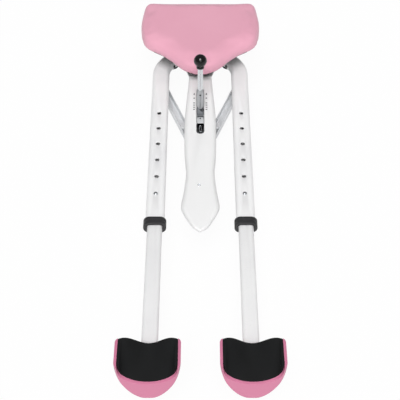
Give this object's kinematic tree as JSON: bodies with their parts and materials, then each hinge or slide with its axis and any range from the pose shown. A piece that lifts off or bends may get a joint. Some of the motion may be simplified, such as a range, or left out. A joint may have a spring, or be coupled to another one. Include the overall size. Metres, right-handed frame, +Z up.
{
  "type": "leg stretching machine",
  "caption": "Padded seat on a pivot frame with two hinged telescoping legs, foot cups and a ratchet lever that spreads the legs for split stretching",
  "frame": {"origin": "middle of the footprint at floor level: the centre of the bounding box in X and Y, and its lowest point in Z", "axes": "+Z is up; -Y is the way the seated user faces, towards the foot cups; +X is the right-hand side seen from the foot end looking at the seat"},
  "size_m": [0.31, 1.0747, 0.2565],
  "materials": {
    "white_steel": "semi-gloss white powder coat",
    "white_cover": "satin white moulded plastic",
    "grey_steel": "zinc-plated steel",
    "dark_steel": "black oxide steel",
    "bright_steel": "polished plated steel",
    "black_plastic": "fine-textured black plastic",
    "gloss_black": "polished black phenolic ball",
    "rubber": "matte black rubber",
    "foam": "closed-cell black foam",
    "pink_vinyl": "fine-grained pink upholstery vinyl",
    "pink_shell": "satin pink moulded shell",
    "board": "black-stained plywood"
  },
  "bodies": {
    "frame": {"base_frame": "white_steel", "center_rail": "grey_steel", "front_stand": "white_steel", "front_foot": "rubber", "housing_cover": "white_cover", "housing_base": "black_plastic", "seat_board": "board", "seat_cushion": "pink_vinyl", "seat_bolt_1": "bright_steel", "seat_bolt_2": "bright_steel", "seat_bolt_3": "bright_steel", "seat_bolt_4": "bright_steel", "lever_bracket": "dark_steel", "lever_axle": "bright_steel", "holding_pawl_pin": "bright_steel", "rear_foot_left": "rubber", "rear_foot_right": "rubber", "pivot_bolt_left": "bright_steel", "pivot_bolt_right": "bright_steel", "pivot_nut_left": "bright_steel", "pivot_nut_right": "bright_steel"},
    "carriage": {"carriage": "grey_steel", "rack": "dark_steel", "carriage_pin_left": "bright_steel", "carriage_pin_right": "bright_steel"},
    "lever": {"lever_fork": "grey_steel", "lever_rod": "bright_steel", "knob_collar": "black_plastic", "lever_knob": "gloss_black", "pawl_pin": "bright_steel"},
    "drive_pawl": {"drive_pawl": "grey_steel"},
    "holding_pawl": {"holding_pawl": "dark_steel"},
    "left_leg": {"outer_tube_left": "white_steel", "tube_collar_left": "black_plastic", "bolt_cap_left": "black_plastic", "leg_bush_left": "black_plastic", "leg_pin_left": "bright_steel"},
    "left_strut": {"strut_left": "grey_steel"},
    "left_extension": {"inner_tube_left": "white_steel", "foot_cup_left": "pink_shell", "foot_pad_left": "foam", "cup_bolt_left": "bright_steel", "roller_bracket_left": "grey_steel", "roller_axle_left": "bright_steel"},
    "left_button": {"snap_button_left": "bright_steel"},
    "left_roller": {"roller_left": "rubber"},
    "right_leg": {"outer_tube_right": "white_steel", "tube_collar_right": "black_plastic", "bolt_cap_right": "black_plastic", "leg_bush_right": "black_plastic", "leg_pin_right": "bright_steel"},
    "right_strut": {"strut_right": "grey_steel"},
    "right_extension": {"inner_tube_right": "white_steel", "foot_cup_right": "pink_shell", "foot_pad_right": "foam", "cup_bolt_right": "bright_steel", "roller_bracket_right": "grey_steel", "roller_axle_right": "bright_steel"},
    "right_button": {"snap_button_right": "bright_steel"},
    "right_roller": {"roller_right": "rubber"}
  },
  "joints": [
    {"name": "left_leg_swing", "type": "hinge", "parent": "frame", "child": "left_leg", "pos_m": [-0.036, 0.4955, 0.085], "axis": [0, 0, -1], "range_deg": [0, 60]},
    {"name": "left_strut_pivot", "type": "hinge", "parent": "left_leg", "child": "left_strut", "pos_m": [-0.08936, 0.34891, 0.053], "axis": [0, 0, -1], "range_deg": [-120, 0]},
    {"name": "carriage_travel", "type": "hinge", "parent": "left_strut", "child": "carriage", "pos_m": [-0.036, 0.20232, 0.053], "axis": [0, 0, -1], "range_deg": [0, 60]},
    {"name": "left_leg_length", "type": "slide", "parent": "left_leg", "child": "left_extension", "axis": [0, -1, 0], "range_m": [-0.26, 0], "deforming": ["snap_button_left"]},
    {"name": "left_button_press", "type": "slide", "parent": "left_extension", "child": "left_button", "axis": [0, 0, 1], "range_m": [-0.0045, 0], "stiffness_N_per_m": 400, "springref_m": 0.002},
    {"name": "left_roller_spin", "type": "hinge", "parent": "left_extension", "child": "left_roller", "pos_m": [-0.095, -0.4855, 0.02], "axis": [0, 1, 0], "continuous": true},
    {"name": "right_leg_swing", "type": "hinge", "parent": "frame", "child": "right_leg", "pos_m": [0.036, 0.4955, 0.085], "axis": [0, 0, 1], "range_deg": [0, 60]},
    {"name": "right_strut_pivot", "type": "hinge", "parent": "right_leg", "child": "right_strut", "pos_m": [0.08936, 0.34891, 0.053], "axis": [0, 0, 1], "range_deg": [-120, 0]},
    {"name": "right_leg_length", "type": "slide", "parent": "right_leg", "child": "right_extension", "axis": [0, -1, 0], "range_m": [-0.26, 0], "deforming": ["snap_button_right"]},
    {"name": "right_button_press", "type": "slide", "parent": "right_extension", "child": "right_button", "axis": [0, 0, 1], "range_m": [-0.0045, 0], "stiffness_N_per_m": 400, "springref_m": 0.002},
    {"name": "right_roller_spin", "type": "hinge", "parent": "right_extension", "child": "right_roller", "pos_m": [0.095, -0.4855, 0.02], "axis": [0, 1, 0], "continuous": true},
    {"name": "lever_pump", "type": "hinge", "parent": "frame", "child": "lever", "pos_m": [0, 0.1835, 0.113], "axis": [1, 0, 0], "range_deg": [0, 55]},
    {"name": "drive_pawl_lift", "type": "hinge", "parent": "lever", "child": "drive_pawl", "pos_m": [0, 0.18009, 0.10149], "axis": [1, 0, 0], "range_deg": [0, 20]},
    {"name": "holding_pawl_lift", "type": "hinge", "parent": "frame", "child": "holding_pawl", "pos_m": [0, 0.1295, 0.111], "axis": [1, 0, 0], "range_deg": [0, 30]}
  ],
  "couplings": [
    {"joint": "right_leg_swing", "follows": "left_leg_swing", "ratio": 1},
    {"joint": "left_strut_pivot", "follows": "left_leg_swing", "ratio": -2},
    {"joint": "right_strut_pivot", "follows": "left_leg_swing", "ratio": -2},
    {"joint": "carriage_travel", "follows": "left_leg_swing", "ratio": 1}
  ]
}
